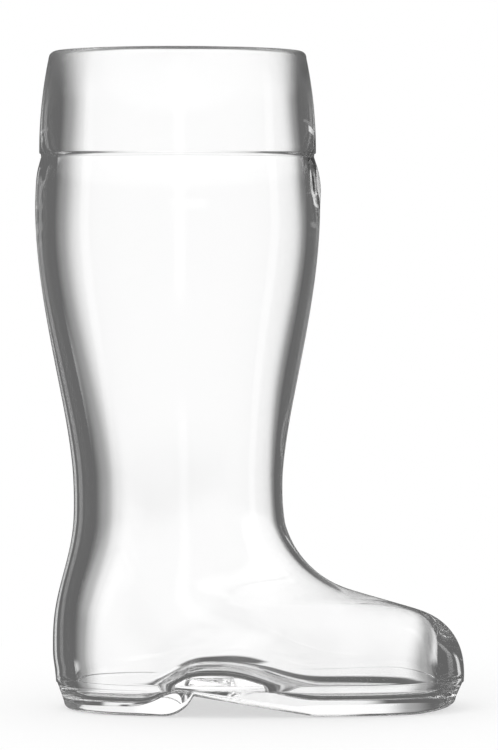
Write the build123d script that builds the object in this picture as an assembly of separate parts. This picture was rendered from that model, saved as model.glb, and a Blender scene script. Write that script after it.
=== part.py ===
from build123d import *
import math
import os

# A one-litre beer boot: a drinking glass shaped like a tall boot, toe along +X, mirror plane at Y = 0.
# The origin lies on the table, under the middle of the object's box. Sizes are in millimetres.
# Heights are measured up from the table, reaches along X from the axis of the leg.

# Drinking band at the top
overall_height = 240.0
cuff_height = 37.4
rim_diameter = 94.0
cuff_bottom_diameter = 101.0
cuff_bulge = 0.9
rim_wall = 5.0
ledge_wall = 5.8
ledge_step = 1.0
ledge_round = 0.8

# Leg
swell_diameter = 103.8
swell_drop = 24.6
swell_flare = 3.0
swell_wall = 5.6
shin_diameter = 87.4
shin_rise = 43.2
shin_wall = 6.0
ankle_diameter = 76.1
ankle_height = 76.8
ankle_wall = 5.2

# Foot above the welt, the line where body and base moulds meet
welt_height = 9.6
foot_wall = 6.0
toe_reach = 105.0
toe_cap_radius = 21.0
vamp_angle = 16.0
instep_radius = 35.0
heel_reach = 45.9
heel_bulge_height = 22.0
heel_tuck = 1.0
foot_half_width = 34.5
foot_width_height = 44.0
toe_round = 30.0
heel_round = 28.5

# Base below the welt
welt_step = 0.5
sole_draft = 2.6
sole_edge = 4.4
breast_reach = 6.0
breast_foot_reach = -5.0
arch_height = 7.4
ball_reach = 50.0
spring_reach = 84.0
spring_height = 2.2

# Floor of the inside
heel_floor = 5.2
shank_floor = 14.6
shank_reach = 11.0
toe_floor = 6.4
pocket_reach = -16.0
floor_ball_reach = 56.0
floor_round = 5.0

# Raised pull straps
strap_width = 15.0
strap_length = 15.0
strap_rise = 1.3
rear_strap_length = 10.0
rear_strap_rise = 0.6

section_points = 32
foot_levels = 19
clear = 5.0

rim_radius = rim_diameter / 2
cuff_bottom_radius = cuff_bottom_diameter / 2
ledge_bore = cuff_bottom_radius - ledge_wall
ledge_height = overall_height - cuff_height
leg_top_radius = cuff_bottom_radius - ledge_step
swell_radius = swell_diameter / 2
swell_height = ledge_height - swell_drop
shin_radius = shin_diameter / 2
shin_height = ankle_height + shin_rise
ankle_radius = ankle_diameter / 2
leg_axis_x = (swell_radius - toe_reach) / 2


def ring(outer_edge, inner_edge):
    """Turn the wall between two profile edges around the Z axis."""
    top = Line(outer_edge @ 0, inner_edge @ 0)
    bottom = Line(outer_edge @ 1, inner_edge @ 1)
    return revolve(make_face([outer_edge, bottom, inner_edge, top]), Axis.Z)


def half_section(edge):
    """Face between a profile edge and the Z axis."""
    top = edge @ 0
    bottom = edge @ 1
    around_axis = Polyline(top, (0, 0, top.Z), (0, 0, bottom.Z), bottom)
    return make_face([edge, around_axis])


def plug(edge):
    """Turn everything between a profile edge and the Z axis."""
    return revolve(half_section(edge), Axis.Z)


def slab(low, high):
    """Block between two heights, wider than the object."""
    size = 4 * (toe_reach + swell_radius)
    return Pos(0, 0, (low + high) / 2) * Box(size, size, high - low)


def across(line, under):
    """Block with a side outline in the XZ plane, wider than the object."""
    return extrude(make_face([*line, under]), 2 * swell_radius, dir=(0, 1, 0), both=True)


# Drinking band, with a round lip and a soft lower edge
cuff_middle_radius = (rim_radius + cuff_bottom_radius) / 2 + cuff_bulge
cuff_middle_height = (overall_height + ledge_height) / 2
cuff_outer = Spline(
    (rim_radius, 0, overall_height),
    (cuff_middle_radius, 0, cuff_middle_height),
    (cuff_bottom_radius, 0, ledge_height),
)
cuff_inner = Line((rim_radius - rim_wall, 0, overall_height), (ledge_bore, 0, ledge_height))
cuff_band = ring(cuff_outer, cuff_inner)
rim_edges = cuff_band.edges().group_by(Axis.Z)[-1]
cuff_band = fillet(rim_edges, rim_wall * 0.46)
ledge_edge = cuff_band.edges().group_by(Axis.Z)[0].sort_by(SortBy.RADIUS)[-1]
cuff_band = fillet(ledge_edge, ledge_round)


# Leg, turned from a profile that swells under the ledge and draws in at the ankle
def leg_profile(top_radius, inset):
    """Profile edge from the ledge down to the ankle, set in by the wall at each named height."""
    widest = swell_radius - inset * swell_wall
    lean = swell_flare * (widest - top_radius) / swell_drop
    return Spline(
        (top_radius, 0, ledge_height),
        (widest, 0, swell_height),
        (shin_radius - inset * shin_wall, 0, shin_height),
        (ankle_radius - inset * ankle_wall, 0, ankle_height),
        tangents=[(lean, 0, -1), (0, 0, -1)],
    )


leg_outer = leg_profile(leg_top_radius, 0)
leg_inner = leg_profile(ledge_bore, 1)
leg_shaft = ring(leg_outer, leg_inner)

# Front line of the foot: an arc over the instep, a straight vamp and an arc around the toe cap
slope_sine = math.sin(math.radians(vamp_angle))
slope_cosine = math.cos(math.radians(vamp_angle))
instep_centre_x = ankle_radius + instep_radius
instep_end_x = instep_centre_x - instep_radius * slope_sine
instep_end_z = ankle_height - instep_radius * slope_cosine
toe_centre_x = toe_reach - toe_cap_radius
vamp_end_x = toe_centre_x + toe_cap_radius * slope_sine
vamp_end_z = instep_end_z - (vamp_end_x - instep_end_x) * slope_sine / slope_cosine
toe_centre_z = vamp_end_z - toe_cap_radius * slope_cosine


def front_line(height, wall):
    """Reach of the front at a height, set in by a wall, and its lean: run over rise."""
    if height >= instep_end_z - wall * slope_cosine:
        radius = instep_radius + wall
        drop = min(ankle_height - height, radius * slope_cosine)
        rest = math.sqrt(radius ** 2 - drop ** 2)
        return instep_centre_x - rest, drop / rest
    if height >= vamp_end_z - wall * slope_cosine:
        fall = instep_end_z - wall * slope_cosine - height
        start = instep_end_x - wall * slope_sine
        return start + fall * slope_cosine / slope_sine, slope_cosine / slope_sine
    radius = toe_cap_radius - wall
    climb = max(height - toe_centre_z, 0)
    rest = math.sqrt(radius ** 2 - climb ** 2)
    return toe_centre_x + rest, climb / rest


def ease(value, low, high):
    """Soft step from 0 at low to 1 at high."""
    share = min(max((value - low) / (high - low), 0), 1)
    return share * share * (3 - 2 * share)


def outline(back, front, half_width, back_round, front_round, height):
    """Closed plan outline of the foot: an oval whose two ends have their own radii."""
    half_length = (front - back) / 2
    front_swell = math.sqrt(front_round * half_length)
    back_swell = math.sqrt(back_round * half_length)
    tilt = (front_swell - back_swell) / 2
    fullness = (front_swell + back_swell) / 2 - half_width
    points = []
    for index in range(section_points):
        turn = 2 * math.pi * index / section_points
        along = math.cos(turn)
        side = math.sin(turn) * (half_width + tilt * along + fullness * along ** 2)
        points.append(((front + back) / 2 + half_length * along, side, height))
    return make_face(Spline(points, periodic=True))


def foot_section(height, wall, inset=0.0):
    """Plan outline of the foot at a height, set in by a wall and by a plain inset."""
    level = max(height, welt_height)
    rise = ease(level, welt_height, ankle_height)
    front, lean = front_line(level, wall)
    back = heel_reach + (ankle_radius - heel_reach) * ease(level, heel_bulge_height, ankle_height)
    back -= heel_tuck * ease(-level, -heel_bulge_height, -welt_height)
    half_width = foot_half_width
    half_width += (ankle_radius - foot_half_width) * ease(level, foot_width_height, ankle_height)
    front_round = toe_round + (ankle_radius - toe_round) * rise - wall
    back_round = heel_round + (ankle_radius - heel_round) * rise - wall
    return outline(
        inset + wall - back,
        front - inset,
        half_width - wall - inset,
        back_round - inset,
        (front_round - inset) / math.hypot(1, lean),
        height,
    )


def leg_section(profile, share):
    """Round section of the leg at a share of its profile edge."""
    point = profile @ share
    return outline(-point.X, point.X, point.X, point.X, point.X, point.Z)


level_step = (ankle_height - welt_height) / (foot_levels - 1)
outer_sections = [leg_section(leg_outer, 0.9)]
inner_sections = [leg_section(leg_inner, 0.9)]
for index in range(foot_levels):
    level = ankle_height - level_step * index
    wall = foot_wall + (ankle_wall - foot_wall) * ease(level, welt_height, ankle_height)
    outer_sections.append(foot_section(level, 0))
    inner_sections.append(foot_section(level, wall))
inner_sections.append(foot_section((welt_height + heel_floor) / 2, foot_wall, floor_round * 0.25))
inner_sections.append(foot_section(heel_floor, foot_wall, floor_round))
foot_block = loft(outer_sections)
foot_inside = loft(inner_sections)

# Base block, tapering below the welt, with the arch and the toe spring cut away
base_block = loft([
    foot_section(welt_height, 0, welt_step),
    foot_section(welt_height * 0.55, 0, welt_step + sole_draft * 0.4),
    foot_section(welt_height * 0.2, 0, welt_step + sole_draft * 0.8),
    foot_section(0, 0, sole_edge),
])
breast = TangentArc((breast_foot_reach, 0, 0), (breast_reach, 0, arch_height), tangent=(1, 0, 0))
shank = Spline(
    (breast_reach, 0, arch_height), (ball_reach, 0, 0), tangents=[(1, 0, -0.05), (1, 0, -0.1)]
)
below_arch = Polyline(
    (ball_reach, 0, 0), (ball_reach, 0, -clear), (breast_foot_reach, 0, -clear), (breast_foot_reach, 0, 0)
)
arch_cut = across([breast, shank], below_arch)
spring = Spline((spring_reach, 0, 0), (toe_reach, 0, spring_height), tangents=[(1, 0, 0), (1, 0, 0.2)])
below_toe = Polyline(
    (toe_reach, 0, spring_height), (toe_reach, 0, -clear), (spring_reach, 0, -clear), (spring_reach, 0, 0)
)
spring_cut = across([spring], below_toe)

# Floor of the inside: a pocket in the heel, a hump over the shank, then level to the toe
floor_line = Spline(
    (pocket_reach, 0, heel_floor),
    (shank_reach, 0, shank_floor),
    (floor_ball_reach, 0, toe_floor),
    (toe_reach, 0, toe_floor),
    tangents=[(1, 0, 0), (1, 0, 0), (1, 0, -0.03), (1, 0, 0)],
)
below_floor = Polyline(
    (toe_reach, 0, toe_floor), (toe_reach, 0, -clear), (pocket_reach, 0, -clear), (pocket_reach, 0, heel_floor)
)
hump = across([floor_line], below_floor)
inside = foot_inside - hump

foot_upper = (foot_block & slab(welt_height, ankle_height)) - foot_inside
hump_above_welt = foot_inside & hump & slab(welt_height, ankle_height)
base = (base_block - arch_cut - spring_cut - inside) + hump_above_welt
fore_block = Pos(breast_reach + toe_reach, 0, 0) * Box(2 * toe_reach, 4 * swell_radius, 4 * shank_floor)
sole = base & fore_block
heel = base - fore_block


# Pull straps: wedges that stand out of the leg, blunt at their lower end
def leg_radius(height):
    """Radius of the leg's outside at a height."""
    level = Line((0, 0, height), (2 * swell_radius + 2 * cuff_bottom_radius, 0, height))
    return leg_outer.intersect(level).vertices()[0].X


def pull_strap(length, rise):
    """Raised strap on the +X side of the leg, nearly flush at the ledge and standing out by its rise."""
    low = ledge_height - length
    middle = ledge_height - length / 2
    arc = math.degrees(strap_width / leg_top_radius)
    wedge = make_face(Polyline(
        (shin_radius, 0, ledge_height),
        (leg_top_radius + rise * 0.3, 0, ledge_height),
        (leg_radius(middle) + rise, 0, middle),
        (leg_radius(low) + rise, 0, low),
        (shin_radius, 0, low),
        close=True,
    ))
    return Rot(0, 0, -arc / 2) * revolve(wedge - half_section(leg_outer), Axis.Z, arc)


front_pull_strap = pull_strap(strap_length, strap_rise)
rear_pull_strap = Rot(0, 0, 180) * pull_strap(rear_strap_length, rear_strap_rise)

nodes = {
    "cuff_band": cuff_band,
    "leg_shaft": leg_shaft,
    "foot_upper": foot_upper,
    "sole": sole,
    "heel": heel,
    "front_pull_strap": front_pull_strap,
    "rear_pull_strap": rear_pull_strap,
}
os.makedirs("parts", exist_ok=True)
for name, shape in nodes.items():
    placed = Pos(leg_axis_x, 0, 0) * shape
    export_step(placed, f"parts/{name}.step")
    print(name, "solids", len(placed.solids()), "cm3", round(placed.volume / 1000, 1))

leg_space = plug(leg_inner).volume
cuff_space = plug(cuff_inner).volume
foot_space = (inside & slab(0, ankle_height)).volume
print("brimful capacity cm3", round((leg_space + cuff_space + foot_space) / 1000))
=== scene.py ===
# %% [markdown]
# # A beer boot in clear glass
# The object is one pressed and blown glass in the shape of a tall boot. Everything that the eye sees
# on it is bent light, so the wall's thickness and the light around it matter more than any colour.
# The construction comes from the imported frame, in metres, and this script dresses it.

# %% Load the frame
import math

import bmesh
import bpy
import numpy as np
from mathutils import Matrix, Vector


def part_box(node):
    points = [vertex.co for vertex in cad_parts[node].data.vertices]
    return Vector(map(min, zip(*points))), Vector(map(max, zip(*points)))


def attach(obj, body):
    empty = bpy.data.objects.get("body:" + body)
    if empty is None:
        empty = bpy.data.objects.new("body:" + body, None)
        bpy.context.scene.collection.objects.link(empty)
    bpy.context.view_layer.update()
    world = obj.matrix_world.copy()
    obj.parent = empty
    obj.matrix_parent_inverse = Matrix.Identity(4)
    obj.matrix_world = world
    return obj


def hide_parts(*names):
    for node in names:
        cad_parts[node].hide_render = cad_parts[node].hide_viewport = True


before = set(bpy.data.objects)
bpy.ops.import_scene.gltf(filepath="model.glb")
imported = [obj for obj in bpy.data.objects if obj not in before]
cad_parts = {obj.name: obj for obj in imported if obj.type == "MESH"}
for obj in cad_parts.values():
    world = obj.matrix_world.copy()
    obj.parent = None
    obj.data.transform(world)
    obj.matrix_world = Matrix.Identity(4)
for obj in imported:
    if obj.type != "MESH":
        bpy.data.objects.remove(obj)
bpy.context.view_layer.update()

MM = 0.001

# %% [markdown]
# ## Sizes from the frame
# The heights and reaches of the boot are read from the boxes of its pieces, so the glass skin
# follows the construction if that changes. Typing the numbers again would work until the first change.
# Only shapes that a box can't tell, such as a corner's radius or a wall, are written further down,
# where they are first needed. Reaches run along X from the axis of the leg.

# %% Read the main sizes
cuff_low, cuff_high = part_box("cuff_band")
leg_low, leg_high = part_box("leg_shaft")
foot_low, foot_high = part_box("foot_upper")

LEG_AXIS = (cuff_low.x + cuff_high.x) / 2
RIM_HEIGHT = cuff_high.z
LEDGE_HEIGHT = cuff_low.z
ANKLE_HEIGHT = leg_low.z
WELT_HEIGHT = foot_low.z
CUFF_BOTTOM_RADIUS = (cuff_high.y - cuff_low.y) / 2
SWELL_RADIUS = (leg_high.y - leg_low.y) / 2
ANKLE_RADIUS = (foot_high.y - foot_low.y) / 2
TOE_REACH = foot_high.x - LEG_AXIS
HEEL_REACH = LEG_AXIS - foot_low.x
print("leg axis", round(LEG_AXIS, 4), "toe reach", round(TOE_REACH, 4), "heel reach", round(HEEL_REACH, 4))

# %% [markdown]
# ## The ladder
# A boot could be sculpted or lofted by hand. Here the glass is drawn as a ladder of rungs, because a rung
# is easy to measure. Each rung is one closed line round the boot. The rungs go from the middle of the
# underside up the outside, over the lip, down the inside and to the middle of the inner floor. A rung
# is an oval whose two ends have their own radii, so five numbers describe it: where its middle lies,
# its half length, its half width, how much it leans to one end and how full its ends are. Glass shows
# every jump of curvature as a streak, so the two helpers for a step and for a line have none.


# %% Helpers for smooth lines
def ease(value, low, high):
    """Step from 0 at low to 1 at high that also starts and ends without a bend."""
    share = min(max((value - low) / (high - low), 0.0), 1.0)
    return share ** 3 * (share * (6.0 * share - 15.0) + 10.0)


def smooth_line(knots, first_slope, last_slope):
    """Cubic spline through (place, value) knots with set slopes at both ends."""
    places = np.array([k[0] for k in knots])
    values = np.array([k[1] for k in knots])
    gaps = np.diff(places)
    rises = np.diff(values) / gaps
    count = len(knots)
    system = np.eye(count)
    right = np.zeros(count)
    right[0] = first_slope
    right[-1] = last_slope
    for i in range(1, count - 1):
        system[i, i - 1] = gaps[i]
        system[i, i] = 2.0 * (gaps[i - 1] + gaps[i])
        system[i, i + 1] = gaps[i - 1]
        right[i] = 3.0 * (gaps[i] * rises[i - 1] + gaps[i - 1] * rises[i])
    slopes = np.linalg.solve(system, right)

    def at(place):
        i = int(np.clip(np.searchsorted(places, place) - 1, 0, count - 2))
        t = min(max((place - places[i]) / gaps[i], 0.0), 1.0)
        a = (1.0 + 2.0 * t) * (1.0 - t) ** 2 * values[i] + t * t * (3.0 - 2.0 * t) * values[i + 1]
        b = t * (1.0 - t) ** 2 * slopes[i] + t * t * (t - 1.0) * slopes[i + 1]
        return float(a + b * gaps[i])

    return at


BELL_REACH = 3.0


def iron(values, width, spacing):
    """Even out a line of values with a soft bell of a given width."""
    place = np.arange(-BELL_REACH * width, BELL_REACH * width, spacing)
    bell = np.exp(-0.5 * (place / width) ** 2)
    return np.convolve(values, bell / bell.sum(), mode="same")


print("half way up a step", ease(0.5, 0.0, 1.0))

# %% [markdown]
# ## The leg
# The leg is round. It swells under the ledge, narrows over the shin and is narrowest at the ankle. Four
# radii and a spline give that line without a kink. The inside is a second line, set in by the wall
# at each height. In blown glass the bore is seldom in the middle: here it sits towards the front, so
# the back wall is the thicker one, and the dark band along the back is the wider one.

# %% Outside of the leg
LEDGE_STEP = 1.0 * MM
LEG_TOP_RADIUS = CUFF_BOTTOM_RADIUS - LEDGE_STEP
SWELL_HEIGHT = LEDGE_HEIGHT - 24.6 * MM
SHIN_HEIGHT = ANKLE_HEIGHT + 43.2 * MM
SHIN_RADIUS = 43.7 * MM
LEDGE_LEAN = -0.3
leg_outside = smooth_line([
    (ANKLE_HEIGHT, ANKLE_RADIUS),
    (SHIN_HEIGHT, SHIN_RADIUS),
    (SWELL_HEIGHT, SWELL_RADIUS),
    (LEDGE_HEIGHT, LEG_TOP_RADIUS),
], 0.0, LEDGE_LEAN)
print("leg, mm across at the swell", round(2.0 * leg_outside(SWELL_HEIGHT) / MM, 1))

# %% Inside of the leg and cuff
RIM_RADIUS = 47.0 * MM
RIM_WALL = 5.0 * MM
LEDGE_WALL = 5.8 * MM
SWELL_WALL = 5.6 * MM
SHIN_WALL = 6.0 * MM
ANKLE_WALL = 5.2 * MM
RIM_LEAN = -0.05
leg_inside = smooth_line([
    (ANKLE_HEIGHT, ANKLE_RADIUS - ANKLE_WALL),
    (SHIN_HEIGHT, SHIN_RADIUS - SHIN_WALL),
    (SWELL_HEIGHT, SWELL_RADIUS - SWELL_WALL),
    (LEDGE_HEIGHT, CUFF_BOTTOM_RADIUS - LEDGE_WALL),
    (RIM_HEIGHT, RIM_RADIUS - RIM_WALL),
], 0.0, RIM_LEAN)
print("wall under the ledge, mm", round((leg_outside(LEDGE_HEIGHT) - leg_inside(LEDGE_HEIGHT)) / MM, 2))

# %% How far the bore sits towards the front
ANKLE_SHIFT = 1.8 * MM
SHIN_SHIFT = 0.9 * MM
SWELL_SHIFT = 0.8 * MM
RIM_SHIFT = 0.5 * MM
bore_shift = smooth_line([
    (ANKLE_HEIGHT, ANKLE_SHIFT),
    (SHIN_HEIGHT, SHIN_SHIFT),
    (SWELL_HEIGHT, SWELL_SHIFT),
    (RIM_HEIGHT, RIM_SHIFT),
], 0.0, 0.0)
print("back wall at the ankle, mm", round((ANKLE_WALL + ANKLE_SHIFT) / MM, 2))

# %% [markdown]
# ## The line over the instep, vamp and toe
# Seen from the side, the front of the foot turns out over the instep, runs straight down the vamp and
# turns down round the toe. Two arcs and a line would draw it, but each joint would be a jump of
# curvature. So it is written as how steeply it runs at each point of its length. That turn is then
# ironed with a soft bell, so the bend never jumps, and summed up into places. The inside is the same
# line moved in by the wall, which is thin over the instep and thick in the toe.

# %% Turn of the front line along its length
CURVE_STEP = 0.05 * MM
IRON_WIDTH = 3.5 * MM
TAIL = 30.0 * MM
TOE_CAP_RADIUS = 21.0 * MM
INSTEP_RADIUS = 35.0 * MM
VAMP_ANGLE = math.radians(16.0)
STEEP = math.pi / 2.0 - VAMP_ANGLE
BEND_REACH = 1.0 - math.sin(VAMP_ANGLE)
instep_end = INSTEP_RADIUS * STEEP
vamp_reach = TOE_REACH - ANKLE_RADIUS - (INSTEP_RADIUS + TOE_CAP_RADIUS) * BEND_REACH
vamp_end = instep_end + vamp_reach / math.cos(VAMP_ANGLE)
toe_end = vamp_end + TOE_CAP_RADIUS * STEEP
run = np.arange(-TAIL, toe_end + TAIL, CURVE_STEP)
turn_out = np.interp(np.abs(run), [0.0, instep_end, vamp_end, toe_end], [0.0, STEEP, STEEP, 0.0])
turn_out = iron(np.sign(run) * turn_out, IRON_WIDTH, CURVE_STEP)
below_ankle = run >= 0.0
run = run[below_ankle]
turn_out = turn_out[below_ankle]
print("length of the front line, mm", round(toe_end / MM, 1))

# %% Places of the front line and of its inside
INSTEP_WALL = 2.0 * MM
VAMP_WALL = 2.6 * MM
TOE_WALL = 8.0 * MM
reach = np.cumsum(np.sin(turn_out)) * CURVE_STEP
front_x = ANKLE_RADIUS + reach * (TOE_REACH - ANKLE_RADIUS) / reach.max()
front_z = ANKLE_HEIGHT - np.cumsum(np.cos(turn_out)) * CURVE_STEP
front_wall = smooth_line([
    (0.0, ANKLE_WALL - ANKLE_SHIFT),
    (instep_end, INSTEP_WALL),
    (vamp_end, VAMP_WALL),
    (toe_end, TOE_WALL),
], 0.0, 0.0)
wall_line = np.array([front_wall(place) for place in run])
lining_x = front_x - wall_line * np.cos(turn_out)
lining_z = front_z - wall_line * np.sin(turn_out)
print("inner reach of the toe, mm", round(float(lining_x.max()) / MM, 1))

# %% How sharp the nose of a rung is: a level cut through a slope that leans has a sharper end
NOSE_STEP = 5.0 * CURVE_STEP
NOSE_WIDTH = 6.0 * MM
LOWEST = -2.0 * ANKLE_HEIGHT
HIGHEST = 3.0 * ANKLE_HEIGHT
levels = np.arange(LOWEST, HIGHEST, NOSE_STEP)
nose = iron(np.cos(np.interp(-levels, -front_z, turn_out)), NOSE_WIDTH, NOSE_STEP)
print("sharpest nose", round(float(nose[levels > 0.0].min()), 2))

# %% [markdown]
# ## Rungs
# In the foot a rung reaches from the heel to the front line. Its width and the radii of its ends ease from
# the round ankle to the long sole, and the inner rungs are set in by the wall at the heel, the sides and
# the toe. In the leg a rung is a circle. One function for each keeps the outside and the inside alike.


# %% Read the front line
def front_line(height, inner):
    """Reach of the front at a height."""
    across, up = (lining_x, lining_z) if inner else (front_x, front_z)
    return float(np.interp(-height, -up, across))


def front_heights(inner, high, low, count):
    """Heights that step evenly along the front line, without the lowest one."""
    up = lining_z if inner else front_z
    first, last = np.interp([-high, -low], -up, run)
    return [float(np.interp(place, run, up)) for place in np.linspace(first, last, count, endpoint=False)]


print("front at half the ankle's height, mm", round(front_line(ANKLE_HEIGHT / 2.0, False) / MM, 1))

# %% Shapes of the rungs
HEEL_WALL = 6.6 * MM
SIDE_WALL = 5.0 * MM
HEEL_BULGE_HEIGHT = 22.0 * MM
HEEL_TUCK = 1.0 * MM
FOOT_HALF_WIDTH = 34.5 * MM
FOOT_WIDTH_HEIGHT = 30.0 * MM
TOE_ROUND = 30.0 * MM
HEEL_ROUND = 28.5 * MM


def oval(back, front, half_width, back_round, front_round):
    """The five numbers of a rung, from its reaches and the radii of its ends."""
    half_length = (front - back) / 2.0
    front_swell = math.sqrt(max(front_round, 0.0) * half_length)
    back_swell = math.sqrt(max(back_round, 0.0) * half_length)
    return {
        "middle": LEG_AXIS + (front + back) / 2.0,
        "half_length": half_length,
        "half_width": half_width,
        "tilt": (front_swell - back_swell) / 2.0,
        "fullness": (front_swell + back_swell) / 2.0 - half_width,
    }


def foot_rung(height, inner=False, inset=0.0):
    """Rung of the foot at a height, outside or inside, drawn in by an inset all round."""
    level = max(height, WELT_HEIGHT)
    rise = ease(level, WELT_HEIGHT, ANKLE_HEIGHT)
    front = front_line(level, inner)
    back = HEEL_REACH + (ANKLE_RADIUS - HEEL_REACH) * ease(level, HEEL_BULGE_HEIGHT, ANKLE_HEIGHT)
    back -= HEEL_TUCK * ease(-level, -HEEL_BULGE_HEIGHT, -WELT_HEIGHT)
    half_width = FOOT_HALF_WIDTH
    half_width += (ANKLE_RADIUS - FOOT_HALF_WIDTH) * ease(level, FOOT_WIDTH_HEIGHT, ANKLE_HEIGHT)
    back_wall = HEEL_WALL + (ANKLE_WALL + ANKLE_SHIFT - HEEL_WALL) * rise
    side_wall = SIDE_WALL + (ANKLE_WALL - SIDE_WALL) * rise
    set_in = side_wall * inner + inset
    front_round = TOE_ROUND + (ANKLE_RADIUS - TOE_ROUND) * rise - set_in
    back_round = HEEL_ROUND + (ANKLE_RADIUS - HEEL_ROUND) * rise - set_in
    return oval(
        back_wall * inner + inset - back,
        front - inset,
        half_width - set_in,
        back_round,
        front_round * float(np.interp(level, levels, nose)),
    )


def leg_rung(radius, shift=0.0):
    """Round rung of the leg or cuff, moved towards the front by a shift."""
    return oval(shift - radius, shift + radius, radius, radius, radius)


rungs = []


def add_rung(shape, height, follow=0.0, inner=False):
    """The rung lies at its height plus follow times the height of the underside or of the floor."""
    rungs.append({**shape, "height": height, "follow": follow, "inner": float(inner)})


print("half length at the welt, mm", round(foot_rung(WELT_HEIGHT)["half_length"] / MM, 1))

# %% Underside, from the middle out, then round the edge of the sole and up to the welt
BOTTOM_RINGS = 10
CORNER_RINGS = 7
BASE_RINGS = 8
SOLE_CORNER = 2.2 * MM
SOLE_DRAFT = 2.6 * MM
WELT_STEP = 0.5 * MM
WELT_ROUND = 0.15 * MM
WELT_SHARE = 0.3
sole_inset = WELT_STEP + SOLE_DRAFT + SOLE_CORNER
for i in range(BOTTOM_RINGS):
    inset = FOOT_HALF_WIDTH + (sole_inset - FOOT_HALF_WIDTH) * i / BOTTOM_RINGS
    add_rung(foot_rung(0.0, False, inset), 0.0, 1.0)
for i in range(CORNER_RINGS):
    turn = math.pi / 2.0 * i / CORNER_RINGS
    inset = sole_inset - SOLE_CORNER * math.sin(turn)
    add_rung(foot_rung(0.0, False, inset), SOLE_CORNER * (1.0 - math.cos(turn)), 1.0)
for i in range(BASE_RINGS):
    share = i / BASE_RINGS
    height = SOLE_CORNER + (WELT_HEIGHT - SOLE_CORNER) * share
    add_rung(foot_rung(0.0, False, WELT_STEP + SOLE_DRAFT * (1.0 - share)), height, 1.0 - share)
add_rung(foot_rung(0.0, False, WELT_STEP), WELT_HEIGHT)
add_rung(foot_rung(0.0, False, WELT_STEP * WELT_SHARE), WELT_HEIGHT + WELT_ROUND)
print("rungs up to the welt", len(rungs))

# %% Outside of the foot and leg
FOOT_RINGS = 56
LEG_RINGS = 38
SHOULDER_RINGS = 26
SHOULDER_DEPTH = 20.0 * MM
LEDGE_GAP = 0.4 * MM
for height in reversed(front_heights(False, ANKLE_HEIGHT, WELT_HEIGHT + WELT_STEP, FOOT_RINGS)):
    add_rung(foot_rung(height), height)
shoulder_low = LEDGE_HEIGHT - SHOULDER_DEPTH
for i in range(1, LEG_RINGS):
    height = ANKLE_HEIGHT + (shoulder_low - ANKLE_HEIGHT) * i / LEG_RINGS
    add_rung(leg_rung(leg_outside(height)), height)
for i in range(SHOULDER_RINGS):
    height = shoulder_low + (SHOULDER_DEPTH - LEDGE_GAP) * i / SHOULDER_RINGS
    add_rung(leg_rung(leg_outside(height)), height)
print("rungs up to the ledge", len(rungs))

# %% Ledge and cuff
CUFF_RINGS = 20
CUFF_BULGE = 0.9 * MM
LEDGE_ROUND = 0.6 * MM
lip_radius = RIM_WALL / 2.0
cuff_low_z = LEDGE_HEIGHT + LEDGE_ROUND
cuff_high_z = RIM_HEIGHT - lip_radius
for i in range(CORNER_RINGS):
    turn = math.pi / 2.0 * i / (CORNER_RINGS - 1)
    radius = CUFF_BOTTOM_RADIUS - LEDGE_ROUND * (1.0 - math.sin(turn))
    height = LEDGE_HEIGHT + LEDGE_ROUND * (1.0 - math.cos(turn))
    add_rung(leg_rung(radius), height)
for i in range(1, CUFF_RINGS):
    share = i / CUFF_RINGS
    height = cuff_low_z + (cuff_high_z - cuff_low_z) * share
    bulge = 4.0 * CUFF_BULGE * share * (1.0 - share)
    radius = CUFF_BOTTOM_RADIUS + (RIM_RADIUS - CUFF_BOTTOM_RADIUS) * share + bulge
    add_rung(leg_rung(radius), height)
print("rungs up to the rim", len(rungs))

# %% Lip: half a circle over the wall, because the rim is fire polished
LIP_RINGS = 14
for i in range(LIP_RINGS + 1):
    turn = math.pi * i / LIP_RINGS
    radius = RIM_RADIUS - lip_radius + lip_radius * math.cos(turn)
    shift = RIM_SHIFT * i / LIP_RINGS
    add_rung(leg_rung(radius, shift), cuff_high_z + lip_radius * math.sin(turn), 0.0, i > LIP_RINGS / 2)
print("rungs up to the end of the lip", len(rungs))

# %% Inside of the cuff and leg
INNER_RINGS = 52
for i in range(1, INNER_RINGS):
    height = cuff_high_z + (ANKLE_HEIGHT - cuff_high_z) * i / INNER_RINGS
    add_rung(leg_rung(leg_inside(height), bore_shift(height)), height, 0.0, True)
print("rungs down to the ankle", len(rungs))

# %% Inside of the foot: from level rungs at the ankle to rungs that ride on the inner floor
FLOOR_BASE = 5.2 * MM
FLOOR_CORNER = 4.0 * MM
FOLLOW_TOP = 42.0 * MM
corner_top = FLOOR_BASE + FLOOR_CORNER
inner_half_width = FOOT_HALF_WIDTH - SIDE_WALL
for height in front_heights(True, ANKLE_HEIGHT, corner_top, FOOT_RINGS):
    add_rung(foot_rung(height, True), height, ease(-height, -FOLLOW_TOP, -corner_top), True)
for i in range(CORNER_RINGS):
    turn = math.pi / 2.0 * i / CORNER_RINGS
    inset = FLOOR_CORNER * (1.0 - math.cos(turn))
    add_rung(foot_rung(0.0, True, inset), corner_top - FLOOR_CORNER * math.sin(turn), 1.0, True)
for i in range(BOTTOM_RINGS + 1):
    inset = FLOOR_CORNER + (inner_half_width - FLOOR_CORNER) * i / BOTTOM_RINGS
    add_rung(foot_rung(0.0, True, inset), FLOOR_BASE, 1.0, True)
print("rungs", len(rungs))

# %% [markdown]
# ## Columns
# The columns run up the boot, and one column's step round the oval is an angle. Even steps would be too
# coarse for the heel's breast, which is a short steep face, or too many elsewhere. So the columns stand
# closer together there and further apart in the rest.

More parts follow.
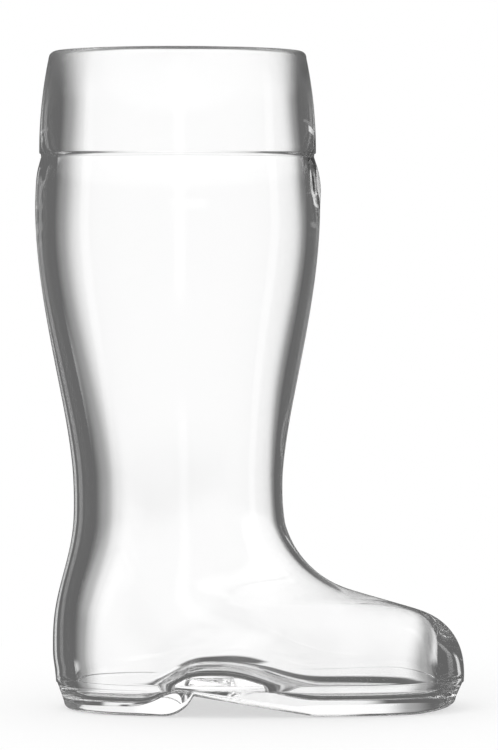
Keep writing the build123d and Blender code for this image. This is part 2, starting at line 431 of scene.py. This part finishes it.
# %% Space the columns
COLUMNS = 300
CROWD = 2.2
CROWD_WIDTH = 0.22
FINE_STEPS = 4000
BREAST_FOOT = LEG_AXIS - 5.0 * MM
BREAST_TOP = LEG_AXIS + 6.0 * MM
welt_rung = foot_rung(WELT_HEIGHT)
breast_share = ((BREAST_FOOT + BREAST_TOP) / 2.0 - welt_rung["middle"]) / welt_rung["half_length"]
fine_turns = np.linspace(-math.pi, math.pi, FINE_STEPS + 1)
crowding = CROWD * np.exp(-(((np.abs(fine_turns) - math.acos(breast_share)) / CROWD_WIDTH) ** 2))
passed = np.concatenate(([0.0], np.cumsum(1.0 + (crowding[1:] + crowding[:-1]) / 2.0)))
column_turns = np.interp(np.linspace(0.0, passed[-1], COLUMNS + 1), passed, fine_turns)
print("narrowest column, degrees", round(math.degrees(np.diff(column_turns).min()), 2))

# %% Put the rungs and the columns into a mesh that carries them as attributes
ladder_mesh = bpy.data.meshes.new("boot_ladder")
ladder_points = [(0.0, 0.0, rung["height"]) for rung in rungs]
ladder_points += [(math.cos(turn) * MM, math.sin(turn) * MM, 0.0) for turn in column_turns]
ladder_mesh.from_pydata(ladder_points, [], [])
for name in rungs[0]:
    attribute = ladder_mesh.attributes.new(name, "FLOAT", "POINT")
    attribute.data.foreach_set("value", [rung[name] for rung in rungs] + [0.0] * (COLUMNS + 1))
attribute = ladder_mesh.attributes.new("turn", "FLOAT", "POINT")
attribute.data.foreach_set("value", [0.0] * len(rungs) + list(column_turns))
boot = bpy.data.objects.new("boot_glass", ladder_mesh)
bpy.context.scene.collection.objects.link(boot)
print("points on the ladder", len(ladder_points))

# %% [markdown]
# ## The skin
# Geometry Nodes turn the ladder into glass. A grid has one row for each rung and one column for each
# step round the boot. Each point looks up its rung, works out its place on the oval, and is lifted by
# the shape of the underside or of the inner floor. Plain Python could do the sums too. In nodes the rule
# stays visible, and the arch, the heel's breast and the pull straps are numbers that it is given.

# %% Start the tree
tree = bpy.data.node_groups.new("boot_skin", "GeometryNodeTree")
tree.interface.new_socket("Ladder", in_out="INPUT", socket_type="NodeSocketGeometry")
SKIN_INPUTS = {
    "Leg Axis": LEG_AXIS,
    "Breast Foot": BREAST_FOOT,
    "Breast Top": BREAST_TOP,
    "Arch Height": 7.4 * MM,
    "Ball": LEG_AXIS + 50.0 * MM,
    "Spring Start": LEG_AXIS + 84.0 * MM,
    "Spring Height": 2.2 * MM,
    "Toe": LEG_AXIS + TOE_REACH,
    "Pocket": LEG_AXIS - 16.0 * MM,
    "Shank": LEG_AXIS + 11.0 * MM,
    "Floor Ball": LEG_AXIS + 56.0 * MM,
    "Heel Floor": FLOOR_BASE,
    "Shank Floor": 14.6 * MM,
    "Toe Floor": 6.4 * MM,
    "Ledge": LEDGE_HEIGHT,
    "Strap Half Width": 12.0 * MM,
    "Strap Edge": 11.0 * MM,
    "Front Strap Length": 15.0 * MM,
    "Front Strap Rise": 0.7 * MM,
    "Rear Strap Length": 10.0 * MM,
    "Rear Strap Rise": 0.3 * MM,
    "Wave Height": 0.10 * MM,
    "Wave Size": 28.0 * MM,
    "Ripple Height": 1.8 * MM,
    "Ripple Size": 4.5 * MM,
}
for name, value in SKIN_INPUTS.items():
    socket = tree.interface.new_socket(name, in_out="INPUT", socket_type="NodeSocketFloat")
    socket.default_value = value
tree.interface.new_socket("Material", in_out="INPUT", socket_type="NodeSocketMaterial")
tree.interface.new_socket("Glass", in_out="OUTPUT", socket_type="NodeSocketGeometry")
given = tree.nodes.new("NodeGroupInput").outputs
result = tree.nodes.new("NodeGroupOutput").inputs
print("numbers in the modifier", len(SKIN_INPUTS))


# %% Short words for nodes
class Bench:
    """Adds nodes to one node tree and links them; an input is a number or another node's socket."""

    def __init__(self, node_tree):
        self.nodes = node_tree.nodes
        self.links = node_tree.links

    def feed(self, socket, value):
        """Give an input its number or its link."""
        if isinstance(value, bpy.types.NodeSocket):
            self.links.new(value, socket)
        else:
            socket.default_value = value

    def add(self, kind, settings=None, inputs=None):
        """One node with its settings and inputs."""
        node = self.nodes.new(kind)
        for name, value in (settings or {}).items():
            setattr(node, name, value)
        for name, value in (inputs or {}).items():
            self.feed(node.inputs[name], value)
        return node

    def calc(self, operation, first, second=0.0, third=0.0):
        """One math node."""
        places = {0: first, 1: second, 2: third}
        return self.add("ShaderNodeMath", {"operation": operation}, places).outputs[0]

    def step(self, value, low, high, start=0.0, end=1.0, kind="SMOOTHERSTEP"):
        """Map Range from start at low to end at high."""
        places = dict(enumerate((value, low, high, start, end)))
        return self.add("ShaderNodeMapRange", {"interpolation_type": kind}, places).outputs[0]

    def blend(self, share, first, second):
        """First where share is 0, second where it is 1."""
        return self.step(share, 0.0, 1.0, first, second, "LINEAR")

    def between(self, value, low, low_full, high_full, high):
        """1 between two soft limits, 0 outside them."""
        rise = self.step(value, low, low_full)
        return self.calc("MULTIPLY", rise, self.step(value, high_full, high, 1.0, 0.0))


skin = Bench(tree)

# %% Grid of rungs and columns
grid = skin.add("GeometryNodeMeshGrid", None, {
    "Size X": float(len(rungs) - 1),
    "Size Y": float(COLUMNS),
    "Vertices X": len(rungs),
    "Vertices Y": COLUMNS + 1,
})
grid_place = skin.add("ShaderNodeSeparateXYZ", None, {0: skin.add("GeometryNodeInputPosition").outputs[0]})
row = skin.calc("ADD", grid_place.outputs["X"], (len(rungs) - 1) / 2.0)
column = skin.calc("ADD", grid_place.outputs["Y"], COLUMNS / 2.0 + len(rungs))


def look_up(name, index):
    """Read one of the ladder's numbers at a point's index."""
    whole = skin.add("FunctionNodeFloatToInt", {"rounding_mode": "ROUND"}, {0: index})
    stored = skin.add("GeometryNodeInputNamedAttribute", {"data_type": "FLOAT"}, {"Name": name})
    sample = skin.add("GeometryNodeSampleIndex", {"data_type": "FLOAT", "domain": "POINT"}, {
        "Geometry": given["Ladder"],
        "Value": stored.outputs["Attribute"],
        "Index": whole.outputs[0],
    })
    return sample.outputs["Value"]


print("grid of", len(rungs), "by", COLUMNS + 1, "points")

# %% Place on the oval
turn = look_up("turn", column)
along = skin.calc("COSINE", turn)
x_place = skin.calc("MULTIPLY_ADD", look_up("half_length", row), along, look_up("middle", row))
bulge = skin.calc("MULTIPLY_ADD", look_up("fullness", row), along, look_up("tilt", row))
breadth = skin.calc("MULTIPLY_ADD", bulge, along, look_up("half_width", row))
y_place = skin.calc("MULTIPLY", skin.calc("SINE", turn), breadth)
inner = look_up("inner", row)
outer = skin.calc("SUBTRACT", 1.0, inner)
print("nodes for the ovals", len(tree.nodes))

# %% [markdown]
# ## Underside and inner floor
# The boot stands on its heel and on the ball of the sole, with an arch between them. Inside, the heel has
# a pocket of its own, a hump runs over the shank, and the floor goes on to the toe. Both are heights
# along X, so they are added to the rungs that ride on them, rather than modelled as faces of their own.

# %% Underside: the breast is an arc up to the arch, which falls straight to the ball; the toe lifts
breast_run = skin.calc("SUBTRACT", given["Breast Top"], given["Breast Foot"])
arch = given["Arch Height"]
arc_sum = skin.calc("MULTIPLY_ADD", breast_run, breast_run, skin.calc("MULTIPLY", arch, arch))
arc_radius = skin.calc("DIVIDE", arc_sum, skin.calc("MULTIPLY", arch, 2.0))
past_foot = skin.calc("MAXIMUM", skin.calc("SUBTRACT", x_place, given["Breast Foot"]), 0.0)
on_breast = skin.calc("MINIMUM", past_foot, breast_run)
arc_leg = skin.calc("MULTIPLY", on_breast, on_breast)
arc_rest = skin.calc("SQRT", skin.calc("SUBTRACT", skin.calc("MULTIPLY", arc_radius, arc_radius), arc_leg))
breast = skin.calc("SUBTRACT", arc_radius, arc_rest)
fall = skin.step(x_place, given["Breast Top"], given["Ball"], 1.0, 0.0, "LINEAR")
spring = skin.step(x_place, given["Spring Start"], given["Toe"], 0.0, 1.0, "LINEAR")
lift = skin.calc("MULTIPLY", skin.calc("MULTIPLY", spring, spring), given["Spring Height"])
underside = skin.calc("MULTIPLY_ADD", breast, fall, lift)
print("nodes with the underside", len(tree.nodes))

# %% Inner floor: heel pocket, hump over the shank, then level to the toe
pocket = skin.step(x_place, given["Pocket"], given["Shank"], given["Heel Floor"], given["Shank Floor"])
hump_drop = skin.calc("SUBTRACT", given["Toe Floor"], given["Shank Floor"])
to_toe = skin.step(x_place, given["Shank"], given["Floor Ball"])
floor_shape = skin.calc("MULTIPLY_ADD", to_toe, hump_drop, pocket)
floor_lift = skin.calc("SUBTRACT", floor_shape, given["Heel Floor"])
ground = skin.blend(inner, underside, floor_lift)
z_place = skin.calc("MULTIPLY_ADD", look_up("follow", row), ground, look_up("height", row))
print("nodes with the inner floor", len(tree.nodes))

# %% [markdown]
# ## Pull straps
# A real boot has loops to pull it on by. On the glass they are soft raised tongues under the ledge, one at
# the front and a flatter one at the back. A separate piece would show its hidden faces through the
# glass, so the skin itself is pushed out where a mask says so, and every border of the mask is eased.

# %% Masks of the straps
STRAP_END = 6.0 * MM
STRAP_TOP = 7.0 * MM
STRAP_START = 0.35
strap_inner_width = skin.calc("SUBTRACT", given["Strap Half Width"], given["Strap Edge"])
off_middle = skin.calc("ABSOLUTE", y_place)
side_fade = skin.step(off_middle, strap_inner_width, given["Strap Half Width"], 1.0, 0.0)


def strap(length, rise, facing):
    """How far the leg's outside stands out at a strap, on the side that faces one way along X."""
    low = skin.calc("SUBTRACT", given["Ledge"], length)
    wedge = skin.step(z_place, given["Ledge"], low, STRAP_START, 1.0, "LINEAR")
    end = skin.step(z_place, skin.calc("SUBTRACT", low, STRAP_END), skin.calc("ADD", low, STRAP_END))
    top = skin.step(z_place, skin.calc("SUBTRACT", given["Ledge"], STRAP_TOP), given["Ledge"], 1.0, 0.0)
    mask = skin.calc("MULTIPLY", skin.calc("MULTIPLY", wedge, end), skin.calc("MULTIPLY", side_fade, top))
    mask = skin.calc("MULTIPLY", skin.calc("MULTIPLY", mask, outer), facing)
    return skin.calc("MULTIPLY", mask, rise)


ahead = skin.calc("GREATER_THAN", x_place, given["Leg Axis"])
behind = skin.calc("SUBTRACT", 1.0, ahead)
push_front = strap(given["Front Strap Length"], given["Front Strap Rise"], ahead)
push_back = strap(given["Rear Strap Length"], given["Rear Strap Rise"], behind)
x_place = skin.calc("ADD", x_place, skin.calc("SUBTRACT", push_front, push_back))
print("nodes with the straps", len(tree.nodes))

# %% Join the places and close the seams
WELD = 0.002 * MM
place = skin.add("ShaderNodeCombineXYZ", None, {"X": x_place, "Y": y_place, "Z": z_place})
put = skin.add("GeometryNodeSetPosition", None, {
    "Geometry": grid.outputs["Mesh"],
    "Position": place.outputs[0],
})
mark = skin.add("GeometryNodeStoreNamedAttribute", {"data_type": "FLOAT"}, {
    "Geometry": put.outputs[0],
    "Name": "inside",
    "Value": inner,
})
weld = skin.add("GeometryNodeMergeByDistance", None, {"Geometry": mark.outputs[0], "Distance": WELD})
print("nodes up to the closed skin", len(tree.nodes))

# %% [markdown]
# ## Blown glass
# The mould shapes only the outside. Inside, the soft glass finds its own way: it carries slow waves, and
# in the toe, where the glass is thick and cools last, ripples. At the ankle the round leg meets the foot,
# and there the glass flows from one into the other. A blur of the points in that belt gives the flow,
# and noise along the normals gives waves and ripples. Bump would leave the inner outline smooth.

# %% Let the glass flow at the ankle
SMOOTH_PASSES = 30
FLOW_FULL = 3.0 * MM
FLOW_END = 9.0 * MM
inside = skin.add("GeometryNodeInputNamedAttribute", {"data_type": "FLOAT"}, {"Name": "inside"}).outputs[0]
spot = skin.add("GeometryNodeInputPosition").outputs[0]
spot_axes = skin.add("ShaderNodeSeparateXYZ", None, {0: spot}).outputs
flow_share = skin.between(
    spot_axes["Z"],
    ANKLE_HEIGHT - FLOW_END,
    ANKLE_HEIGHT - FLOW_FULL,
    ANKLE_HEIGHT + FLOW_FULL,
    ANKLE_HEIGHT + FLOW_END,
)
flow = skin.add("GeometryNodeBlurAttribute", {"data_type": "FLOAT_VECTOR"}, {
    "Value": spot,
    "Iterations": SMOOTH_PASSES,
    "Weight": flow_share,
})
relax = skin.add("GeometryNodeSetPosition", None, {
    "Geometry": weld.outputs[0],
    "Position": flow.outputs["Value"],
})
print("nodes with the flow", len(tree.nodes))

# %% Waves everywhere inside, ripples in the toe
NOISE_MIDDLE = 0.5
NOISE_DETAIL = 1.0
RIPPLE_START = LEG_AXIS + 82.0 * MM
RIPPLE_FULL = LEG_AXIS + 94.0 * MM


def push_out(geometry, height, size, share):
    """Push points along their normals by noise of a given height and size."""
    scale = skin.calc("DIVIDE", 1.0, size)
    noise = skin.add("ShaderNodeTexNoise", None, {"Scale": scale, "Detail": NOISE_DETAIL})
    swing = skin.calc("SUBTRACT", noise.outputs[0], NOISE_MIDDLE)
    amount = skin.calc("MULTIPLY", skin.calc("MULTIPLY", swing, height), share)
    normal = skin.add("GeometryNodeInputNormal").outputs[0]
    offset = skin.add("ShaderNodeVectorMath", {"operation": "SCALE"}, {0: normal, "Scale": amount})
    moved = skin.add("GeometryNodeSetPosition", None, {"Geometry": geometry, "Offset": offset.outputs[0]})
    return moved.outputs[0]


toe_part = skin.calc("MULTIPLY", skin.step(spot_axes["X"], RIPPLE_START, RIPPLE_FULL), inside)
waved = push_out(relax.outputs[0], given["Wave Height"], given["Wave Size"], inside)
rippled = push_out(waved, given["Ripple Height"], given["Ripple Size"], toe_part)
print("nodes with waves and ripples", len(tree.nodes))

# %% Shade, realize and dress
soft = skin.add("GeometryNodeSetShadeSmooth", None, {"Geometry": rippled})
real = skin.add("GeometryNodeRealizeInstances", None, {"Geometry": soft.outputs[0]})
dress = skin.add("GeometryNodeSetMaterial", None, {
    "Geometry": real.outputs[0],
    "Material": given["Material"],
})
skin.links.new(dress.outputs[0], result["Glass"])
print("nodes in the skin", len(tree.nodes))

# %% [markdown]
# ## The finish
# Clear soda-lime glass has no colour of its own here. It bends light by its index of about 1.5. Its
# surface is fire polished, so it is nearly smooth. Near the lip a little roughness makes the faint haze
# that fire leaves there, a painted reflection lies in the foot as a faint grey veil, and a weak bump gives
# the skin its unevenness. Image textures could hold all this, but noise on Object coordinates needs none.

# %% Clear glass
GLASS_IOR = 1.5
glass = bpy.data.materials.new("clear_glass")
glass.use_nodes = True
finish = Bench(glass.node_tree)
shader = glass.node_tree.nodes["Principled BSDF"].inputs
shader["IOR"].default_value = GLASS_IOR
shader["Transmission Weight"].default_value = 1.0
spots = finish.add("ShaderNodeTexCoord").outputs["Object"]
spot_height = finish.add("ShaderNodeSeparateXYZ", None, {0: spots}).outputs["Z"]


def noise_on(scale, detail):
    """Noise on the object's own coordinates, with its scale per metre."""
    inputs = {"Vector": spots, "Scale": scale, "Detail": detail}
    return finish.add("ShaderNodeTexNoise", None, inputs).outputs[0]


print("index of the glass", GLASS_IOR)

# %% Painted reflection: a faint grey veil in the foot
PAINTED_REFLECTION_GREY = 0.94
PAINTED_REFLECTION_SCALE = 22.0
PAINTED_REFLECTION_DETAIL = 1.0
PAINTED_PATCH_START = 0.4
PAINTED_PATCH_FULL = 0.65
PAINTED_REFLECTION_TOP = ANKLE_HEIGHT + 40.0 * MM
PAINTED_REFLECTION_FULL = ANKLE_HEIGHT - 20.0 * MM
# Painted reflection: the base colour turns grey in patches, most of all low in the foot, in place of a
# faint reflection
painted_reflection = finish.step(noise_on(PAINTED_REFLECTION_SCALE, PAINTED_REFLECTION_DETAIL), PAINTED_PATCH_START, PAINTED_PATCH_FULL)
painted_reflection = finish.calc("MULTIPLY", painted_reflection, finish.step(spot_height, PAINTED_REFLECTION_TOP, PAINTED_REFLECTION_FULL))
painted_reflection_grey = finish.blend(painted_reflection, 1.0, PAINTED_REFLECTION_GREY)
painted_reflection_colour = finish.add("ShaderNodeCombineColor", None, {0: painted_reflection_grey, 1: painted_reflection_grey, 2: painted_reflection_grey})
finish.links.new(painted_reflection_colour.outputs[0], shader["Base Color"])
print("clouds end, mm above the table", round(PAINTED_REFLECTION_TOP / MM, 1))

# %% Haze near the lip, and a trace of grain everywhere
HAZE = 0.2
HAZE_START = LEDGE_HEIGHT + 8.0 * MM
HAZE_SCALE = 45.0
HAZE_DETAIL = 3.0
LEAST_BREATH = 0.75
GRAIN = 0.012
PATCH_START = 0.35
BREATH_FULL = 0.65
GRAIN_FULL = 0.75
patches = noise_on(HAZE_SCALE, HAZE_DETAIL)
haze = finish.step(spot_height, HAZE_START, RIM_HEIGHT, 0.0, HAZE, "SMOOTHSTEP")
breath = finish.step(patches, PATCH_START, BREATH_FULL, LEAST_BREATH, 1.0, "LINEAR")
grain = finish.step(patches, PATCH_START, GRAIN_FULL, 0.0, GRAIN, "LINEAR")
finish.feed(shader["Roughness"], finish.calc("MULTIPLY_ADD", haze, breath, grain))
print("haze starts, mm above the table", round(HAZE_START / MM, 1))

# %% Uneven skin
PEEL_SCALE = 130.0
PEEL_DETAIL = 2.0
PEEL_STRENGTH = 0.1
PEEL_HEIGHT = 0.02 * MM
peel = finish.add("ShaderNodeBump", None, {
    "Strength": PEEL_STRENGTH,
    "Distance": PEEL_HEIGHT,
    "Height": noise_on(PEEL_SCALE, PEEL_DETAIL),
})
finish.links.new(peel.outputs[0], shader["Normal"])
print("nodes in the glass", len(glass.node_tree.nodes))

# %% [markdown]
# ## A plain mesh
# The node tree has done its work once its result is kept. A live modifier would have to be run again by
# everyone who opens the file, so the result becomes a plain mesh and the modifier goes. The mesh is
# checked: glass needs a closed skin whose faces all point outwards, or it bends light the wrong way.

# %% Run the skin and keep its result
modifier = boot.modifiers.new("boot_skin", "NODES")
modifier.node_group = tree
for item in tree.interface.items_tree:
    if item.in_out == "INPUT" and item.socket_type == "NodeSocketMaterial":
        modifier[item.identifier] = glass
    elif item.name in SKIN_INPUTS:
        modifier[item.identifier] = SKIN_INPUTS[item.name]
depsgraph = bpy.context.evaluated_depsgraph_get()
skin_mesh = bpy.data.meshes.new_from_object(boot.evaluated_get(depsgraph))
boot.modifiers.clear()
boot.data = skin_mesh
skin_mesh.name = "boot_glass"
print("points of the skin", len(skin_mesh.vertices))

# %% Turn the faces outwards and measure the glass
CM3 = 1e-6
shape = bmesh.new()
shape.from_mesh(skin_mesh)
bmesh.ops.recalc_face_normals(shape, faces=shape.faces)
# Edges that don't have exactly two faces. Only slivers less than 0.1 mm wide have them, at the ends
# of the middle lines of the underside and of the inner floor.
odd_edges = sum(1 for edge in shape.edges if not edge.is_manifold)
glass_volume = shape.calc_volume(signed=True)
shape.to_mesh(skin_mesh)
shape.free()
print("glass faces", len(skin_mesh.polygons), "edges of slivers", odd_edges)
print("glass cm3", round(glass_volume / CM3, 1))

# %% Say what the glass stands for
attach(boot, "root")
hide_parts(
    "cuff_band", "leg_shaft", "foot_upper", "sole", "heel", "front_pull_strap", "rear_pull_strap"
)
print(boot.name, "rides on root")

# %% [markdown]
# ## The studio
# Glass on white is lit from behind. A white field stands behind the object, and the dark room on both
# sides of it is what draws the edges: near the outline the wall bends the view sideways, out of the
# field and into the dark. Real white cards would do, but they would show from the other sides. So the
# world itself holds the fields, on four sides round the horizon, and below it also on the diagonals, for
# views from above.

# %% Directions, heights and the levels of light
WHITE = 1.0
FIELD_LIGHT = 1.12
SKIRT_LIGHT = 0.46
UPPER_ROOM = 0.25
ECHO_ROOM = 0.14
DARK_ROOM = 0.135
LOW_START = math.radians(-12.5)
HORIZON_END = math.radians(-7.5)
UPPER_START = math.radians(13.0)
UPPER_END = math.radians(24.0)
world = bpy.data.worlds.new("studio")
bpy.context.scene.world = world
world.use_nodes = True
world.node_tree.nodes.clear()
sky = Bench(world.node_tree)
view = sky.add("ShaderNodeTexCoord").outputs["Generated"]
look = sky.add("ShaderNodeSeparateXYZ", None, {0: view}).outputs
azimuth = sky.calc("ARCTAN2", look["Y"], look["X"])
elevation = sky.calc("ARCSINE", look["Z"])
above = sky.step(elevation, UPPER_START, UPPER_END, 0.0, 1.0, "SMOOTHSTEP")
below = sky.step(elevation, LOW_START, HORIZON_END, 1.0, 0.0, "SMOOTHSTEP")


def dome(lower, middle, upper):
    """Light by height: below the horizon, round it and above it."""
    return sky.blend(above, sky.blend(below, middle, lower), upper)


print("light of a field", FIELD_LIGHT, "and of the dark room", DARK_ROOM)

# %% White fields with dark between them
DIAGONAL = math.pi / 4.0
CORE_FULL = math.radians(9.5)
CORE_END = math.radians(20.0)
SKIRT_FULL = math.radians(16.0)
SKIRT_END = math.radians(40.0)
FADE_START = math.radians(-15.0)
FADE_END = math.radians(-23.0)
STEEP_START = math.radians(-34.0)
STEEP_END = math.radians(-46.0)


def fields(turned_by):
    """Four white fields round the object, the first turned from the X axis by an angle."""
    off_axis = sky.calc("PINGPONG", sky.calc("ADD", azimuth, turned_by), DIAGONAL)
    core = sky.step(off_axis, CORE_FULL, CORE_END, FIELD_LIGHT - SKIRT_LIGHT, 0.0, "SMOOTHSTEP")
    skirt = sky.step(off_axis, SKIRT_FULL, SKIRT_END, SKIRT_LIGHT, DARK_ROOM, "SMOOTHSTEP")
    return sky.calc("ADD", core, skirt)


horizon_fields = fields(0.0)
faded = sky.step(elevation, FADE_END, FADE_START, 1.0, 0.0, "SMOOTHSTEP")
steep = sky.step(elevation, STEEP_END, STEEP_START, 1.0, 0.0, "SMOOTHSTEP")
lower_fields = sky.blend(faded, horizon_fields, DARK_ROOM)
corner_fields = sky.blend(steep, fields(DIAGONAL), DARK_ROOM)
straight = dome(sky.calc("MAXIMUM", lower_fields, corner_fields), horizon_fields, UPPER_ROOM)
print("core of a field, degrees across", round(2.0 * math.degrees(CORE_END), 1))

# %% [markdown]
# ## What a ray has met
# A camera in a real studio sees each path through the glass in one and the same room. Here the Light Path
# node tells how often a ray went through a face and how often it was mirrored, and each kind of path
# gets the part of the room that it would meet. A ray through both walls sees the fields. One that is
# mirrored inside a wall sees almost only dark, which gives the outline its sharp dark band. The solid
# heel and sole gather light like a lens, and their flat underside mirrors the bright side of the room.

# %% Light inside the edge of a wall and in the solid heel and sole
EDGE_FULL = math.radians(3.0)
EDGE_END = math.radians(7.0)
# Left and right are the share of a look that runs along X
LEFT_DARK = -0.2
LEFT_END = -0.1
RIGHT_START = 0.36
RIGHT_END = 0.44
# A look up from the underside, and looks that are not steep: start, full, full and end of each
RISEN = [math.radians(v) for v in (6.2, 6.7, 7.7, 8.3)]
LEVEL = [math.radians(v) for v in (-25.0, -18.0, 38.0, 46.0)]
# Limits for counts of faces met, which are whole numbers
AT_LEAST_ONE = 0.5
AT_LEAST_THREE = 2.5
ray = sky.add("ShaderNodeLightPath").outputs
often = sky.calc("GREATER_THAN", ray["Glossy Depth"], AT_LEAST_THREE)
not_left = sky.step(look["X"], LEFT_DARK, LEFT_END, 0.0, 1.0, "SMOOTHSTEP")
not_right = sky.step(look["X"], RIGHT_START, RIGHT_END, 1.0, 0.0)
level = sky.between(elevation, *LEVEL)
risen = sky.calc("MULTIPLY", sky.between(elevation, *RISEN), not_right)
risen = sky.calc("MULTIPLY", risen, not_left)
off_edge = sky.calc("PINGPONG", azimuth, DIAGONAL)
edge = sky.step(off_edge, EDGE_FULL, EDGE_END, WHITE, DARK_ROOM, "SMOOTHSTEP")
edge = sky.blend(risen, edge, WHITE)
edge = sky.blend(sky.calc("MAXIMUM", level, often), DARK_ROOM, edge)
solid = sky.blend(sky.calc("MULTIPLY", level, not_left), DARK_ROOM, WHITE)
solid = sky.blend(below, sky.calc("MAXIMUM", solid, horizon_fields), straight)
print("nodes up to the solid glass", len(world.node_tree.nodes))

# %% Choose by the path of the ray
in_glass = sky.calc("GREATER_THAN", ray["Transmission Depth"], AT_LEAST_ONE)
deep = sky.calc("GREATER_THAN", ray["Transmission Depth"], AT_LEAST_THREE)
mirrored = sky.calc("GREATER_THAN", ray["Glossy Depth"], AT_LEAST_ONE)
echo = dome(WHITE, ECHO_ROOM, UPPER_ROOM)
first = dome(DARK_ROOM, DARK_ROOM, UPPER_ROOM)
turned = sky.blend(in_glass, first, sky.blend(deep, edge, echo))
passed_on = sky.blend(in_glass, WHITE, sky.blend(deep, solid, straight))
background = sky.add("ShaderNodeBackground", None, {"Strength": sky.blend(mirrored, passed_on, turned)})
background.inputs["Color"].default_value = (1.0, 1.0, 1.0, 1.0)
sky.links.new(background.outputs[0], sky.add("ShaderNodeOutputWorld").inputs["Surface"])
print("nodes in the studio", len(world.node_tree.nodes))

# %% [markdown]
# ## The floor and the lamp
# The floor is a pale disc that keeps the object's soft shadow and fades into the white background. A
# large plane would show its horizon. Rays that have gone through the glass or were mirrored in it pass the
# floor by and see the room instead: the floor would cut the dark edges off at its rim.

# %% Floor
FLOOR_RADIUS = 0.30
FLOOR_SIDES = 96
FLOOR_DROP = 0.2 * MM
floor_mesh = bpy.data.meshes.new("floor")
disc = bmesh.new()
bmesh.ops.create_circle(disc, cap_ends=True, segments=FLOOR_SIDES, radius=FLOOR_RADIUS)
disc.to_mesh(floor_mesh)
disc.free()
floor = bpy.data.objects.new("floor", floor_mesh)
bpy.context.scene.collection.objects.link(floor)
floor.location.z = -FLOOR_DROP
print("corners of the floor", len(floor_mesh.vertices))

# %% Paint of the floor
FADE_FROM = 0.06
FADE_TO = 0.24
GLOW_SHARE = 0.6
PALE = 0.9
pale = bpy.data.materials.new("pale_floor")
pale.use_nodes = True
pale.node_tree.nodes.clear()
paint = Bench(pale.node_tree)
lit = paint.add("ShaderNodeBsdfDiffuse")
lit.inputs["Color"].default_value = (PALE, PALE, PALE, 1.0)
glow = paint.add("ShaderNodeEmission")
floor_spot = paint.add("ShaderNodeTexCoord").outputs["Object"]
far_out = paint.add("ShaderNodeVectorMath", {"operation": "LENGTH"}, {0: floor_spot}).outputs["Value"]
fade = paint.step(far_out, FADE_FROM, FADE_TO, GLOW_SHARE, 1.0, "SMOOTHSTEP")
pale_mix = paint.add("ShaderNodeMixShader", None, {0: fade, 1: lit.outputs[0], 2: glow.outputs[0]})
floor_ray = paint.add("ShaderNodeLightPath").outputs
met = paint.calc("ADD", floor_ray["Transmission Depth"], floor_ray["Glossy Depth"])
bent = paint.calc("GREATER_THAN", met, AT_LEAST_ONE)
gone = paint.add("ShaderNodeBsdfTransparent")
floor_mix = paint.add("ShaderNodeMixShader", None, {0: bent, 1: pale_mix.outputs[0], 2: gone.outputs[0]})
paint.links.new(floor_mix.outputs[0], paint.add("ShaderNodeOutputMaterial").inputs["Surface"])
floor_mesh.materials.append(pale)
print("floor, m across", 2.0 * FLOOR_RADIUS)

# %% Lamp
LAMP_SIZE = 0.8
LAMP_POWER = 4.0
LAMP_PLACE = Vector((-0.5, -0.4, 1.3))
LAMP_AIM = Vector((0.0, 0.0, 0.1))
lamp_data = bpy.data.lights.new("softbox", "AREA")
lamp_data.shape = "DISK"
lamp_data.size = LAMP_SIZE
lamp_data.energy = LAMP_POWER
lamp = bpy.data.objects.new("softbox", lamp_data)
lamp.location = LAMP_PLACE
lamp.rotation_euler = (LAMP_AIM - LAMP_PLACE).to_track_quat("-Z", "Y").to_euler()
bpy.context.scene.collection.objects.link(lamp)
print("lamp, m from its aim", round((LAMP_AIM - LAMP_PLACE).length, 2))

# %% [markdown]
# ## The camera
# The photograph was taken from a little above the middle, with a long lens: the rim and the line that
# the boot stands on are both nearly straight. The lens follows from the distance and from how much
# of the object one pixel covers, so the boot fills the frame as it does in the photograph.

# %% Camera
PHOTO_HEIGHT = 750
SENSOR = 36.0
PIXEL = 0.366 * MM
EYE_HEIGHT = 176.8 * MM
AIM_SIDE = -0.5 * MM
AIM_HEIGHT = 121.9 * MM
DISTANCE = 1.412
camera_data = bpy.data.cameras.new("camera")
camera = bpy.data.objects.new("camera", camera_data)
bpy.context.scene.collection.objects.link(camera)
aim = Vector((AIM_SIDE, 0.0, AIM_HEIGHT))
camera.location = (AIM_SIDE, -DISTANCE, EYE_HEIGHT)
camera.rotation_euler = (aim - camera.location).to_track_quat("-Z", "Y").to_euler()
camera_data.sensor_width = SENSOR
camera_data.lens = (aim - camera.location).length / PIXEL / PHOTO_HEIGHT * SENSOR
bpy.context.scene.camera = camera
print("lens mm", round(camera_data.lens, 1))

# %% [markdown]
# ## Last settings
# Light that is caught in a thick wall is mirrored many times before it leaves. With few bounces such paths
# would end in black spots, so more are allowed than usual.

# %% View settings
ALL_BOUNCES = 64
WALL_BOUNCES = 48
bpy.context.scene.view_settings.view_transform = "Standard"
bpy.context.scene.cycles.max_bounces = ALL_BOUNCES
bpy.context.scene.cycles.glossy_bounces = WALL_BOUNCES
bpy.context.scene.cycles.transmission_bounces = WALL_BOUNCES
print("bounces allowed", ALL_BOUNCES)
